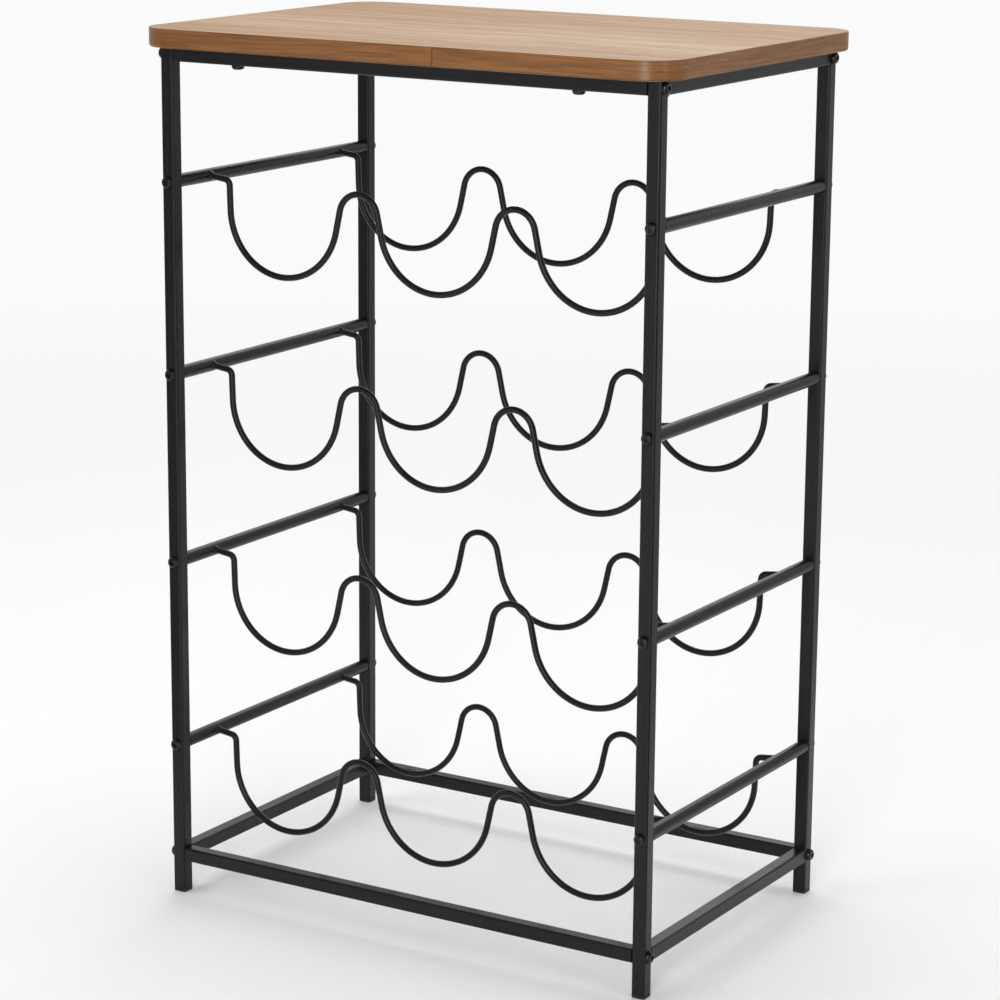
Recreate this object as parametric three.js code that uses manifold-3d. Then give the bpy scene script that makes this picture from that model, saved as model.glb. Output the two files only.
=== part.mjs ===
// Twelve-bottle wine rack: a square-tube frame, four bolted tiers of wave wire, and a wooden top.
// Millimetres. X runs along the front, Y towards the back, Z up. The origin is on the floor, mid-rack.

import * as THREE from 'three';
import Module from 'manifold-3d';
import { mergeVertices } from 'three/addons/utils/BufferGeometryUtils.js';

const wasm = await Module();
wasm.setup();

// ---- Driving dimensions ----

const HEIGHT = 623;
const GAP = 0.3; // left between neighbours that touch

// Wooden top
const BOARD_WIDTH = 412;
const BOARD_DEPTH = 280;
const BOARD_THICKNESS = 13;
const BOARD_CORNER_RADIUS = 26;
const EDGE_BAND_THICKNESS = 0.8;
const EDGE_BAND_SEAM_X = 35; // where the band's two ends meet on the front edge
const EDGE_BAND_SEAM_WIDTH = 0.3;
const BOARD_SCREW_X = 133; // screws that hold the board, two in each long top rail
const PILOT_HOLE_DIAMETER = 3;
const PILOT_HOLE_DEPTH = 9;
const BOARD_SCREW_CLEARANCE_HOLE = 4.4;

// Square-tube frame
const FRAME_WIDTH = 390;
const FRAME_DEPTH = 250;
const TUBE = 10;
const TUBE_WALL = 1;
const TUBE_CORNER_RADIUS = 1.5;
const BOTTOM_RAIL_CENTRE_Z = 29;
const INSERT_LENGTH = 12; // threaded plug in each end of a bolted tube
const CAP_THICKNESS = 2;
const CAP_SHANK_LENGTH = 8;

// Tiers
const TIER_COUNT = 4;
const LOWEST_TIER_Z = 111.5;
const TIER_PITCH = 135;
const SIDE_RAIL_DIAMETER = 9.5;
const WIRE_DIAMETER = 4.5;
const WIRE_Y = 80; // the front and back wires stand this far from the middle
const BOTTLE_PITCH = 125;
const TROUGH_RADIUS = 45;
const TROUGH_BOTTOM = -66.5; // heights of the wire's centre line, from the side rail's axis
const CREST_RADIUS = 15.5;
const CREST_TOP = -3.5;
const END_BEND_RADIUS = 4.5;
const END_BEND_X = 175;
const END_BEND_TOP = -1.5;
const STUB_END_Z = 0.5;

// Button-head bolts
const BOLT_DIAMETER = 5;
const BOLT_HOLE_DIAMETER = BOLT_DIAMETER + 2 * GAP;
const BOLT_HEAD_DIAMETER = 9;
const BOLT_HEAD_HEIGHT = 2.7;
const BOLT_HEAD_SKIRT = 0.4; // height of the head's straight rim, below its dome
const BOLT_HEAD_SHOULDER_DIAMETER = 8;
const BOLT_HEAD_SHOULDER_HEIGHT = 1.6;
const BOLT_HEAD_FLAT_DIAMETER = 5;
const BOLT_SOCKET_ACROSS_CORNERS = 3.4;
const BOLT_SOCKET_DEPTH = 1.6;
const BOLT_REACH_INTO_INSERT = 9;

// Smoothness of round stretches. An extruded arc or circle has twice its curveSegments as facets.
const TUBE_CORNER_FACETS = 4;
const BOARD_CORNER_FACETS = 12;
const RAIL_SIDES = 14;
const WIRE_SIDES = 8;
const BOLT_SIDES = 10;
const HOLE_SIDES = 8;
const TROUGH_STEPS = 8;
const CREST_STEPS = 6;
const END_BEND_STEPS = 3;

// ---- Derived positions ----

const FRAME_TOP = HEIGHT - BOARD_THICKNESS - GAP;
const TOP_RAIL_CENTRE_Z = FRAME_TOP - TUBE / 2;
const LEG_X = FRAME_WIDTH / 2 - TUBE / 2;
const LEG_Y = FRAME_DEPTH / 2 - TUBE / 2;
const LEG_BOTTOM = CAP_THICKNESS + GAP;
const LONG_RAIL_LENGTH = FRAME_WIDTH - 2 * TUBE - 2 * GAP;
const SHORT_RAIL_LENGTH = FRAME_DEPTH - 2 * TUBE - 2 * GAP;
const TIER_HEIGHTS = Array.from({ length: TIER_COUNT }, (unused, i) => LOWEST_TIER_Z + i * TIER_PITCH);

// ---- Materials ----

const blackPaint = new THREE.MeshStandardMaterial({ color: 0x1c1c1e, roughness: 0.5, metalness: 0.3 });
const blackSteel = new THREE.MeshStandardMaterial({ color: 0x131314, roughness: 0.35, metalness: 0.7 });
const blackPlastic = new THREE.MeshStandardMaterial({ color: 0x101010, roughness: 0.7, metalness: 0 });
const oakBoard = new THREE.MeshStandardMaterial({ color: 0xc9a06c, roughness: 0.45, metalness: 0 });
const oakEdge = new THREE.MeshStandardMaterial({ color: 0xa87443, roughness: 0.5, metalness: 0 });

const rack = new THREE.Group();

function addPiece(name, geometry, material, position = [0, 0, 0], rotation = [0, 0, 0]) {
  const mesh = new THREE.Mesh(geometry, material);
  mesh.name = name;
  mesh.position.set(...position);
  mesh.rotation.set(...rotation);
  rack.add(mesh);
}

// ---- Cutting and joining ----

function toSolid(geometry) {
  const bare = geometry.clone();
  bare.deleteAttribute('normal');
  bare.deleteAttribute('uv');
  const merged = mergeVertices(bare);
  return new wasm.Manifold(new wasm.Mesh({
    numProp: 3,
    vertProperties: Float32Array.from(merged.attributes.position.array),
    triVerts: Uint32Array.from(merged.index.array),
  }));
}

function toGeometry(solid) {
  const result = solid.getMesh();
  const geometry = new THREE.BufferGeometry();
  geometry.setAttribute('position', new THREE.BufferAttribute(Float32Array.from(result.vertProperties), 3));
  geometry.setIndex(new THREE.BufferAttribute(Uint32Array.from(result.triVerts), 1));
  geometry.computeVertexNormals();
  return geometry;
}

function cut(geometry, cutters) {
  return toGeometry(cutters.reduce((solid, cutter) => solid.subtract(toSolid(cutter)), toSolid(geometry)));
}

// A round cutter whose axis runs along 'x', 'y' or 'z'.
function drill(diameter, length, axis, [x, y, z]) {
  const cylinder = new THREE.CylinderGeometry(diameter / 2, diameter / 2, length, HOLE_SIDES);
  if (axis === 'x') cylinder.rotateZ(Math.PI / 2);
  if (axis === 'z') cylinder.rotateX(Math.PI / 2);
  return cylinder.translate(x, y, z);
}

// ---- Outlines ----

function roundedRectangle(width, depth, radius) {
  const x = width / 2 - radius;
  const y = depth / 2 - radius;
  const outline = new THREE.Shape();
  outline.absarc(x, y, radius, 0, Math.PI / 2);
  outline.absarc(-x, y, radius, Math.PI / 2, Math.PI);
  outline.absarc(-x, -y, radius, Math.PI, 1.5 * Math.PI);
  outline.absarc(x, -y, radius, 1.5 * Math.PI, 2 * Math.PI);
  outline.closePath();
  return outline;
}

function squareOutline(size) {
  const half = size / 2;
  const corners = [[-half, -half], [half, -half], [half, half], [-half, half]];
  return corners.map(([x, y]) => new THREE.Vector2(x, y));
}

// A square tube standing on z = 0, open at both ends.
function squareTube(length) {
  const section = roundedRectangle(TUBE, TUBE, TUBE_CORNER_RADIUS);
  section.holes.push(new THREE.Path(squareOutline(TUBE - 2 * TUBE_WALL)));
  return new THREE.ExtrudeGeometry(section, {
    depth: length,
    bevelEnabled: false,
    curveSegments: TUBE_CORNER_FACETS / 2,
  });
}

// ---- Wooden top ----

function makeTop() {
  const inset = EDGE_BAND_THICKNESS + GAP;
  const underside = HEIGHT - BOARD_THICKNESS;
  const extrusion = { depth: BOARD_THICKNESS, bevelEnabled: false, curveSegments: BOARD_CORNER_FACETS / 2 };
  const coreOutline = roundedRectangle(
    BOARD_WIDTH - 2 * inset, BOARD_DEPTH - 2 * inset, BOARD_CORNER_RADIUS - inset);
  const core = new THREE.ExtrudeGeometry(coreOutline, extrusion);
  const pilotHoles = [];
  for (const x of [-BOARD_SCREW_X, BOARD_SCREW_X]) {
    for (const y of [-LEG_Y, LEG_Y]) {
      pilotHoles.push(drill(PILOT_HOLE_DIAMETER, 2 * PILOT_HOLE_DEPTH, 'z', [x, y, 0]));
    }
  }
  addPiece('tabletop_board', cut(core, pilotHoles), oakBoard, [0, 0, underside]);

  const ring = roundedRectangle(BOARD_WIDTH, BOARD_DEPTH, BOARD_CORNER_RADIUS);
  ring.holes.push(roundedRectangle(
    BOARD_WIDTH - 2 * EDGE_BAND_THICKNESS, BOARD_DEPTH - 2 * EDGE_BAND_THICKNESS,
    BOARD_CORNER_RADIUS - EDGE_BAND_THICKNESS));
  const band = new THREE.ExtrudeGeometry(ring, extrusion);
  const seam = new THREE.BoxGeometry(EDGE_BAND_SEAM_WIDTH, 4 * EDGE_BAND_THICKNESS, 4 * BOARD_THICKNESS);
  seam.translate(EDGE_BAND_SEAM_X, -BOARD_DEPTH / 2, 0);
  addPiece('tabletop_edge_band', cut(band, [seam]), oakEdge, [0, 0, underside]);
}

// ---- Frame ----

function makeLeg(name, x, y) {
  const length = FRAME_TOP - LEG_BOTTOM;
  const through = 2 * TUBE;
  const holes = TIER_HEIGHTS.map((z) => drill(BOLT_HOLE_DIAMETER, through, 'y', [0, 0, z - LEG_BOTTOM]));
  for (const z of [BOTTOM_RAIL_CENTRE_Z, TOP_RAIL_CENTRE_Z]) {
    holes.push(drill(BOLT_HOLE_DIAMETER, through, 'x', [0, 0, z - LEG_BOTTOM]));
  }
  addPiece(name, cut(squareTube(length), holes), blackPaint, [x, y, LEG_BOTTOM]);
}

function makeFootCap(name, x, y) {
  const section = { bevelEnabled: false, curveSegments: TUBE_CORNER_FACETS / 2 };
  const flange = new THREE.ExtrudeGeometry(
    roundedRectangle(TUBE, TUBE, TUBE_CORNER_RADIUS), { ...section, depth: CAP_THICKNESS });
  const shankSize = TUBE - 2 * TUBE_WALL - 2 * GAP;
  const shank = new THREE.ExtrudeGeometry(
    new THREE.Shape(squareOutline(shankSize)), { ...section, depth: CAP_THICKNESS + CAP_SHANK_LENGTH });
  addPiece(name, toGeometry(toSolid(flange).add(toSolid(shank))), blackPlastic, [x, y, 0]);
}

// A long rail is plugged at each end by a threaded insert, which takes a bolt through the leg.
function makeLongRail(name, y, z, hasBoardScrews) {
  const pocketLength = LONG_RAIL_LENGTH - 2 * INSERT_LENGTH;
  const section = roundedRectangle(TUBE, TUBE, TUBE_CORNER_RADIUS);
  const bar = new THREE.ExtrudeGeometry(section, {
    depth: LONG_RAIL_LENGTH,
    bevelEnabled: false,
    curveSegments: TUBE_CORNER_FACETS / 2,
  });
  bar.translate(0, 0, -LONG_RAIL_LENGTH / 2).rotateY(Math.PI / 2);
  const bore = TUBE - 2 * TUBE_WALL;
  const cutters = [
    new THREE.BoxGeometry(pocketLength, bore, bore),
    drill(BOLT_HOLE_DIAMETER, 2 * LONG_RAIL_LENGTH, 'x', [0, 0, 0]),
  ];
  if (hasBoardScrews) {
    for (const x of [-BOARD_SCREW_X, BOARD_SCREW_X]) {
      cutters.push(drill(BOARD_SCREW_CLEARANCE_HOLE, 2 * TUBE, 'z', [x, 0, 0]));
    }
  }
  addPiece(name, cut(bar, cutters), blackPaint, [0, y, z]);
}

// A short rail is a plain tube welded between the front and back leg.
function makeShortRail(name, x, z) {
  const tube = squareTube(SHORT_RAIL_LENGTH);
  addPiece(name, tube, blackPaint, [x, SHORT_RAIL_LENGTH / 2, z], [Math.PI / 2, 0, 0]);
}

function makeFrame() {
  for (const [side, x] of [['left', -LEG_X], ['right', LEG_X]]) {
    for (const [end, y] of [['front', -LEG_Y], ['back', LEG_Y]]) {
      makeLeg(`${end}_${side}_leg`, x, y);
      makeFootCap(`${end}_${side}_foot_cap`, x, y);
    }
    makeShortRail(`${side}_top_rail`, x, TOP_RAIL_CENTRE_Z);
    makeShortRail(`${side}_bottom_rail`, x, BOTTOM_RAIL_CENTRE_Z);
  }
  for (const [end, y] of [['front', -LEG_Y], ['back', LEG_Y]]) {
    makeLongRail(`${end}_top_rail`, y, TOP_RAIL_CENTRE_Z, true);
    makeLongRail(`${end}_bottom_rail`, y, BOTTOM_RAIL_CENTRE_Z, false);
  }
}

// ---- Tiers ----

// A round tube along Y, plugged at each end by a threaded insert with a bore for the bolt.
function makeSideRail(name, x, z) {
  const outer = SIDE_RAIL_DIAMETER / 2;
  const inner = outer - TUBE_WALL;
  const bore = BOLT_HOLE_DIAMETER / 2;
  const end = SHORT_RAIL_LENGTH / 2;
  const plug = end - INSERT_LENGTH;
  const profile = [
    [bore, -end], [outer, -end], [outer, end], [bore, end],
    [bore, plug], [inner, plug], [inner, -plug], [bore, -plug], [bore, -end],
  ].map(([radius, along]) => new THREE.Vector2(radius, along));
  addPiece(name, new THREE.LatheGeometry(profile, RAIL_SIDES), blackPaint, [x, 0, z]);
}

function pointsOnArc(centre, radius, from, to, steps) {
  return Array.from({ length: steps + 1 }, (unused, i) => {
    const angle = from + (to - from) * i / steps;
    return new THREE.Vector2(centre.x + radius * Math.cos(angle), centre.y + radius * Math.sin(angle));
  });
}

// Direction, from a trough's centre, of the point where its circle meets the straight run up to a bend
// that curves the other way. The same direction, reversed, leaves the bend's centre.
function directionToBend(trough, troughRadius, bend, bendRadius) {
  const between = bend.clone().sub(trough);
  return between.angle() - Math.acos((troughRadius + bendRadius) / between.length());
}

// Centre line of the right half of a wire, in X and Z, from the middle of the middle trough
// to the stub that is welded to the side rail.
function halfWirePoints() {
  const trough = new THREE.Vector2(0, TROUGH_BOTTOM + TROUGH_RADIUS);
  const outerTrough = new THREE.Vector2(BOTTLE_PITCH, trough.y);
  const crest = new THREE.Vector2(BOTTLE_PITCH / 2, CREST_TOP - CREST_RADIUS);
  const endBend = new THREE.Vector2(END_BEND_X, END_BEND_TOP - END_BEND_RADIUS);
  const stubStart = new THREE.Vector2(END_BEND_X, END_BEND_TOP);
  const stubEnd = new THREE.Vector2(LEG_X, STUB_END_Z);
  const stubSlope = stubEnd.clone().sub(stubStart).angle();

  const down = -Math.PI / 2;
  const toCrest = directionToBend(trough, TROUGH_RADIUS, crest, CREST_RADIUS);
  const toEnd = directionToBend(outerTrough, TROUGH_RADIUS, endBend, END_BEND_RADIUS);
  return [
    ...pointsOnArc(trough, TROUGH_RADIUS, down, toCrest, TROUGH_STEPS / 2),
    ...pointsOnArc(crest, CREST_RADIUS, toCrest + Math.PI, -toCrest, CREST_STEPS),
    ...pointsOnArc(outerTrough, TROUGH_RADIUS, -Math.PI - toCrest, toEnd, TROUGH_STEPS),
    ...pointsOnArc(endBend, END_BEND_RADIUS, toEnd + Math.PI, Math.PI / 2 + stubSlope, END_BEND_STEPS),
    stubEnd,
  ];
}

function makeWireGeometry() {
  const right = halfWirePoints();
  const left = right.slice(1).reverse().map((point) => new THREE.Vector2(-point.x, point.y));
  const path = new THREE.CatmullRomCurve3(
    [...left, ...right].map((point) => new THREE.Vector3(point.x, 0, point.y)), false, 'centripetal');
  path.getUtoTmapping = (u) => u; // one section at each point, so that they crowd in the tight bends
  const section = new THREE.Shape().absarc(0, 0, WIRE_DIAMETER / 2, 0, 2 * Math.PI);
  const wire = new THREE.ExtrudeGeometry(section, {
    steps: left.length + right.length - 1,
    curveSegments: WIRE_SIDES / 2,
    extrudePath: path,
  });
  // The stubs are coped to fit the round side rails.
  const railCutters = [-LEG_X, LEG_X].map((x) => {
    const radius = SIDE_RAIL_DIAMETER / 2 + GAP;
    return new THREE.CylinderGeometry(radius, radius, 4 * WIRE_DIAMETER, RAIL_SIDES).translate(x, 0, 0);
  });
  return cut(wire, railCutters);
}

function makeTiers() {
  const wire = makeWireGeometry();
  TIER_HEIGHTS.forEach((z, i) => {
    const tier = `tier_${i + 1}`;
    makeSideRail(`${tier}_left_rail`, -LEG_X, z);
    makeSideRail(`${tier}_right_rail`, LEG_X, z);
    addPiece(`${tier}_front_wire`, wire, blackPaint, [0, -WIRE_Y, z]);
    addPiece(`${tier}_back_wire`, wire, blackPaint, [0, WIRE_Y, z]);
  });
}

// ---- Bolts ----

// A button-head bolt along Y: the head is at negative Y and rests on y = 0, the shank points to positive Y.
function makeBoltGeometry() {
  const head = BOLT_HEAD_DIAMETER / 2;
  const shank = BOLT_DIAMETER / 2;
  const length = TUBE + 2 * GAP + BOLT_REACH_INTO_INSERT;
  const profile = [
    [0, -BOLT_HEAD_HEIGHT],
    [BOLT_HEAD_FLAT_DIAMETER / 2, -BOLT_HEAD_HEIGHT],
    [BOLT_HEAD_SHOULDER_DIAMETER / 2, -BOLT_HEAD_SHOULDER_HEIGHT],
    [head, -BOLT_HEAD_SKIRT],
    [head, 0], [shank, 0], [shank, length], [0, length],
  ].map(([radius, along]) => new THREE.Vector2(radius, along));
  const socket = new THREE.CylinderGeometry(
    BOLT_SOCKET_ACROSS_CORNERS / 2, BOLT_SOCKET_ACROSS_CORNERS / 2, 2 * BOLT_SOCKET_DEPTH, 6);
  socket.translate(0, -BOLT_HEAD_HEIGHT, 0);
  return cut(new THREE.LatheGeometry(profile, BOLT_SIDES), [socket]);
}

function makeBolts() {
  const bolt = makeBoltGeometry();
  for (const [side, x] of [['left', -1], ['right', 1]]) {
    for (const [end, y] of [['front', -1], ['back', 1]]) {
      TIER_HEIGHTS.forEach((z, i) => {
        const head = [x * LEG_X, y * (FRAME_DEPTH / 2 + GAP), z];
        addPiece(`tier_${i + 1}_${end}_${side}_bolt`, bolt, blackSteel, head, [0, 0, y > 0 ? Math.PI : 0]);
      });
      for (const [level, z] of [['bottom', BOTTOM_RAIL_CENTRE_Z], ['top', TOP_RAIL_CENTRE_Z]]) {
        const head = [x * (FRAME_WIDTH / 2 + GAP), y * LEG_Y, z];
        addPiece(`${level}_${end}_${side}_bolt`, bolt, blackSteel, head, [0, 0, x * Math.PI / 2]);
      }
    }
  }
}

makeTop();
makeFrame();
makeTiers();
makeBolts();

export default rack;
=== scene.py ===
"""Twelve-bottle wine rack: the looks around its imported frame.

Metres, in the frame's own axes: X along the front, Y towards the back, Z up, the floor at z = 0.
Each piece is built on the box of the solid it stands for, so its place and size come from the frame.
"""
import math
import random

import bmesh
import bpy
from mathutils import Matrix, Vector


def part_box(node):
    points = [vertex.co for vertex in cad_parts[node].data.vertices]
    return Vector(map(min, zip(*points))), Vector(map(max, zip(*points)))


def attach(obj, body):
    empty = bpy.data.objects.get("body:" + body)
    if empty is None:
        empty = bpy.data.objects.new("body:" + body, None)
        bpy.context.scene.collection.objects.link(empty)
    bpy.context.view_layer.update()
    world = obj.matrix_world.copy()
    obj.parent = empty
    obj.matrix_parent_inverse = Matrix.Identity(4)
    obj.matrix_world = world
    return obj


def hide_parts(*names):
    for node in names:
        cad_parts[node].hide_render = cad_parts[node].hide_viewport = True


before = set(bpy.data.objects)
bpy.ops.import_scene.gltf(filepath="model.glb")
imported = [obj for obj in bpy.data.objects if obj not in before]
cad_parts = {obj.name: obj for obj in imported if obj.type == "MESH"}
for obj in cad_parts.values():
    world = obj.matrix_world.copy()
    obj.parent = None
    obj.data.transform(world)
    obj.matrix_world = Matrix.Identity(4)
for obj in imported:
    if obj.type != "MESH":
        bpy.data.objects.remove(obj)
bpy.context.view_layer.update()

MM = 0.001
X_AXIS, Y_AXIS, Z_AXIS = Vector((1, 0, 0)), Vector((0, 1, 0)), Vector((0, 0, 1))
chance = random.Random(12)

# ---- Sizes that the boxes of the solids don't give ----

CAD_GAP = 0.3 * MM  # what the solids leave between neighbours that touch

TUBE = 10 * MM
TUBE_WALL = 1 * MM
TUBE_CORNER = 1.5 * MM
TUBE_END_EASE = 0.25 * MM
CAP_FLANGE = 2 * MM
CAP_SHANK = 7.4 * MM
CAP_EASE = 0.5 * MM
RAIL_END_EASE = 0.3 * MM
RAIL_BORE = 5.6 * MM

BOARD_CORNER = 26 * MM
BOARD_EASE = 0.2 * MM
BAND_THICKNESS = 0.8 * MM
BAND_SEAM_X = 35 * MM
BAND_SEAM_WIDTH = 0.4 * MM
BAND_SHORTFALL = 0.6 * MM  # how much of the core shows below the band
BAND_ROUNDING = 0.6 * MM
BAND_END_EASE = 0.3 * MM

BOTTLE_PITCH = 125 * MM
WIRE_DIAMETER = 4.5 * MM
TROUGH_RADIUS = 45 * MM
TROUGH_BOTTOM = -66.5 * MM  # heights of the wire's centre line, from the side rail's axis
CREST_RADIUS = 15.5 * MM
CREST_TOP = -3.5 * MM
END_BEND_RADIUS = 4.5 * MM
END_BEND_X = 175 * MM
END_BEND_TOP = -1.5 * MM
STUB_END_Z = 0.5 * MM
STUB_BITE = 1 * MM  # how far a stub runs into the side rail

BOLT_HEAD_HEIGHT = 2.7 * MM
BOLT_SHANK = 5 * MM
BOLT_SOCKET = 3 * MM  # across the flats
BOLT_SOCKET_DEPTH = 1.6 * MM

BOARD_SCREW_X = 133 * MM
BOARD_SCREW_HEAD = 8.8 * MM
BOARD_SCREW_HEAD_HEIGHT = 2.8 * MM
BOARD_SCREW_SHANK = 3.5 * MM
BOARD_SCREW_LENGTH = 9 * MM
BOARD_SCREW_CROSS = 3.6 * MM
BOARD_SCREW_CROSS_ARM = 1 * MM
BOARD_SCREW_CROSS_DEPTH = 1.5 * MM

HEAD_FLAT_SHARE = 0.26  # a head's flat top has this share of its diameter, and the rim, as its radius
HEAD_FLAT_RIM = 0.3 * MM
HEAD_SKIRT_SHARE = 0.15  # how much of a head's height is straight
RECESS_LIP = 1.12  # size of a recess where it opens, against its walls
RECESS_LIP_DEPTH = 0.12 * MM
RECESS_TIP = 0.25  # size of its floor, against its walls
RECESS_TIP_DEPTH = 0.25 * MM

STUB_WELD_LEG = 1.3 * MM
STUB_WELD_RIPPLE = 0.08  # share of a weld's leg
STUB_WELD_WAVES = [4, 5, 6]
STUB_WELD_PROFILE = [  # out from the wire, back from the rail's face and sunk into it, in legs
    (1, 0, 0.15), (0.74, 0.3, 0), (0.42, 0.62, 0), (0.08, 0.95, 0), (-0.3, 0, 0.6),
]
RAIL_WELD_LEG = 1.3 * MM
RAIL_WELD_FLUSH = 0.1 * MM  # how far a weld stands proud where the tubes are flush
RAIL_WELD_RIPPLE = 0.18
RAIL_WELD_WAVES = [9, 10, 11]
RAIL_WELD_PROFILE = [  # out from the tube and back along it, in legs
    (1, 0), (0.7, 0.35), (0.3, 0.75), (-0.1, 1.1), (-0.4, 0),
]

CORNER_FACETS = 6
BOARD_CORNER_FACETS = 24
BAND_ROUNDING_FACETS = 4
WIRE_FACETS = 20
RAIL_FACETS = 48
BOLT_FACETS = 48
HEAD_STEPS = 10
WELD_FACETS = 48
ARC_STEP = math.radians(4)


# ---- Meshes from rings of points ----

def skin(rings, closed=False):
    """Vertices and faces of quads between rings of points. A closed skin joins its last ring to its
    first, and an open one has a face across each end."""
    count = len(rings[0])
    pairs = [(i, i + 1) for i in range(len(rings) - 1)]
    if closed:
        pairs.append((len(rings) - 1, 0))
    faces = []
    for low, high in pairs:
        for i in range(count):
            j = (i + 1) % count
            faces.append((low * count + i, low * count + j, high * count + j, high * count + i))
    if not closed:
        faces.append(tuple(reversed(range(count))))
        faces.append(tuple(range((len(rings) - 1) * count, len(rings) * count)))
    return [point for ring in rings for point in ring], faces


def new_piece(name, skinned, material, nodes=(), flat_angle=40):
    """A smooth-shaded piece on the root body that stands for the given solids."""
    vertices, faces = skinned
    mesh = bpy.data.meshes.new(name)
    mesh.from_pydata(vertices, [], faces)
    shape = bmesh.new()
    shape.from_mesh(mesh)
    bmesh.ops.recalc_face_normals(shape, faces=shape.faces)
    shape.to_mesh(mesh)
    shape.free()
    mesh.shade_smooth()
    mesh.set_sharp_from_angle(angle=math.radians(flat_angle))
    mesh.materials.append(material)
    piece = bpy.data.objects.new(name, mesh)
    bpy.context.scene.collection.objects.link(piece)
    weighting = piece.modifiers.new("even shading", "WEIGHTED_NORMAL")
    weighting.keep_sharp = True
    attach(piece, "root")
    if nodes:
        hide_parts(*nodes)
    return piece


def rounded_rectangle(width, depth, radius, facets=CORNER_FACETS):
    """Outline in X and Y, anticlockwise from the back right corner, with so many facets round each."""
    points = []
    for corner, (side_x, side_y) in enumerate([(1, 1), (-1, 1), (-1, -1), (1, -1)]):
        centre = Vector((side_x * (width / 2 - radius), side_y * (depth / 2 - radius), 0))
        for i in range(facets + 1):
            angle = (corner + i / facets) * math.pi / 2
            points.append(centre + radius * Vector((math.cos(angle), math.sin(angle), 0)))
    return points


def polar(radius_at, facets):
    """Outline in X and Y of a shape whose radius is a function of the angle."""
    points = []
    for i in range(facets):
        angle = 2 * math.pi * i / facets
        points.append(radius_at(angle) * Vector((math.cos(angle), math.sin(angle), 0)))
    return points


def circle(radius, facets):
    return polar(lambda angle: radius, facets)


def hexagon(across_flats, facets):
    """A hexagon drawn with more points than corners, so that it can join a ring of the same count."""
    sixth = math.pi / 3
    return polar(lambda angle: across_flats / 2 / math.cos(angle % sixth - sixth / 2), facets)


def cross(arm_length, arm_width, facets):
    """The outline of a cross recess."""
    quarter = math.pi / 2

    def radius_at(angle):
        off_arm = abs((angle + quarter / 2) % quarter - quarter / 2)
        beside = arm_width / 2 / max(math.sin(off_arm), 1e-6)
        return min(arm_length / 2 / math.cos(off_arm), beside)

    return polar(radius_at, facets)


def evenly_spaced(outline, count):
    """So many points at equal steps round a closed outline."""
    ends = outline[1:] + outline[:1]
    lengths = [(b - a).length for a, b in zip(outline, ends)]
    step = sum(lengths) / count
    points = []
    passed, target = 0, 0
    for a, b, length in zip(outline, ends, lengths):
        while target < passed + length and len(points) < count:
            points.append(a.lerp(b, (target - passed) / length))
            target += step
        passed += length
    return points


def lifted(outline, z):
    return [point + z * Z_AXIS for point in outline]


def placed(skinned, origin, along=Z_AXIS):
    """A skin built on the Z axis, moved to an origin with its Z axis turned along a direction."""
    vertices, faces = skinned
    turn = Z_AXIS.rotation_difference(along).to_matrix()
    return [origin + turn @ point for point in vertices], faces


def box_centre(node):
    low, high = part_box(node)
    return (low + high) / 2


def long_axis(node):
    """How long a solid's box is, the axis that it is longest along and that axis's name."""
    low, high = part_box(node)
    return max(zip(high - low, (X_AXIS, Y_AXIS, Z_AXIS), "XYZ"), key=lambda found: found[0])


# ---- Shader nodes ----

NOISE_SPREAD = (0.3, 0.7)  # nearly all of a noise lies between these


def new_material(name):
    material = bpy.data.materials.new(name)
    material.use_nodes = True
    return material, material.node_tree, material.node_tree.nodes["Principled BSDF"]


def add_node(tree, kind, settings=None, **inputs):
    """A node with its settings, and its inputs set to values or linked to other nodes' outputs.
    An input's name is written in lower case, with underscores for spaces."""
    made = tree.nodes.new(kind)
    for name, value in (settings or {}).items():
        setattr(made, name, value)
    sockets = {socket.name.lower().replace(" ", "_"): socket for socket in made.inputs if socket.enabled}
    for name, value in inputs.items():
        connect(tree, value, sockets[name])
    return made


def connect(tree, value, socket):
    """Links another node's output to a socket, or sets the socket to a plain value."""
    if isinstance(value, bpy.types.NodeSocket):
        tree.links.new(value, socket)
    else:
        socket.default_value = value


def maths(tree, operation, *values):
    made = tree.nodes.new("ShaderNodeMath")
    made.operation = operation
    for value, socket in zip(values, made.inputs):
        connect(tree, value, socket)
    return made.outputs[0]


def stretched(tree, vector, scale):
    return add_node(tree, "ShaderNodeMapping", vector=vector, scale=scale).outputs[0]


def noise(tree, place, waves, detail=2, roughness=0.5):
    """Noise with so many waves per unit of the place, which is a metre unless it was stretched."""
    made = add_node(
        tree, "ShaderNodeTexNoise", vector=place, scale=waves, detail=detail, roughness=roughness)
    return made.outputs[0]


def streaky_noise(tree, place, direction, along, across, detail=2, roughness=0.5):
    """Noise with so many waves per metre along an axis, and so many across it."""
    scale = [along if axis == direction else across for axis in "XYZ"]
    return noise(tree, stretched(tree, place, scale), 1, detail, roughness)


def ranged(tree, value, old, new, curve="LINEAR"):
    """A value carried from an old range to a new one, with the ends held."""
    made = add_node(
        tree, "ShaderNodeMapRange", {"interpolation_type": curve}, value=value,
        from_min=old[0], from_max=old[1], to_min=new[0], to_max=new[1])
    return made.outputs[0]


def blended(tree, factor, first, second):
    """The first colour where the factor is 0, and the second where it is 1."""
    made = add_node(tree, "ShaderNodeMix", {"data_type": "RGBA"}, factor=factor, a=first, b=second)
    return next(output for output in made.outputs if output.enabled)


def ramp(tree, value, stops):
    """A grey that goes through stops of place and brightness."""
    made = add_node(tree, "ShaderNodeValToRGB", fac=value)
    elements = made.color_ramp.elements
    while len(elements) < len(stops):
        elements.new(0.5)
    for element, (place, grey) in zip(elements, stops):
        element.position = place
        element.color = (grey, grey, grey, 1)
    return made.outputs[0]


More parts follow.
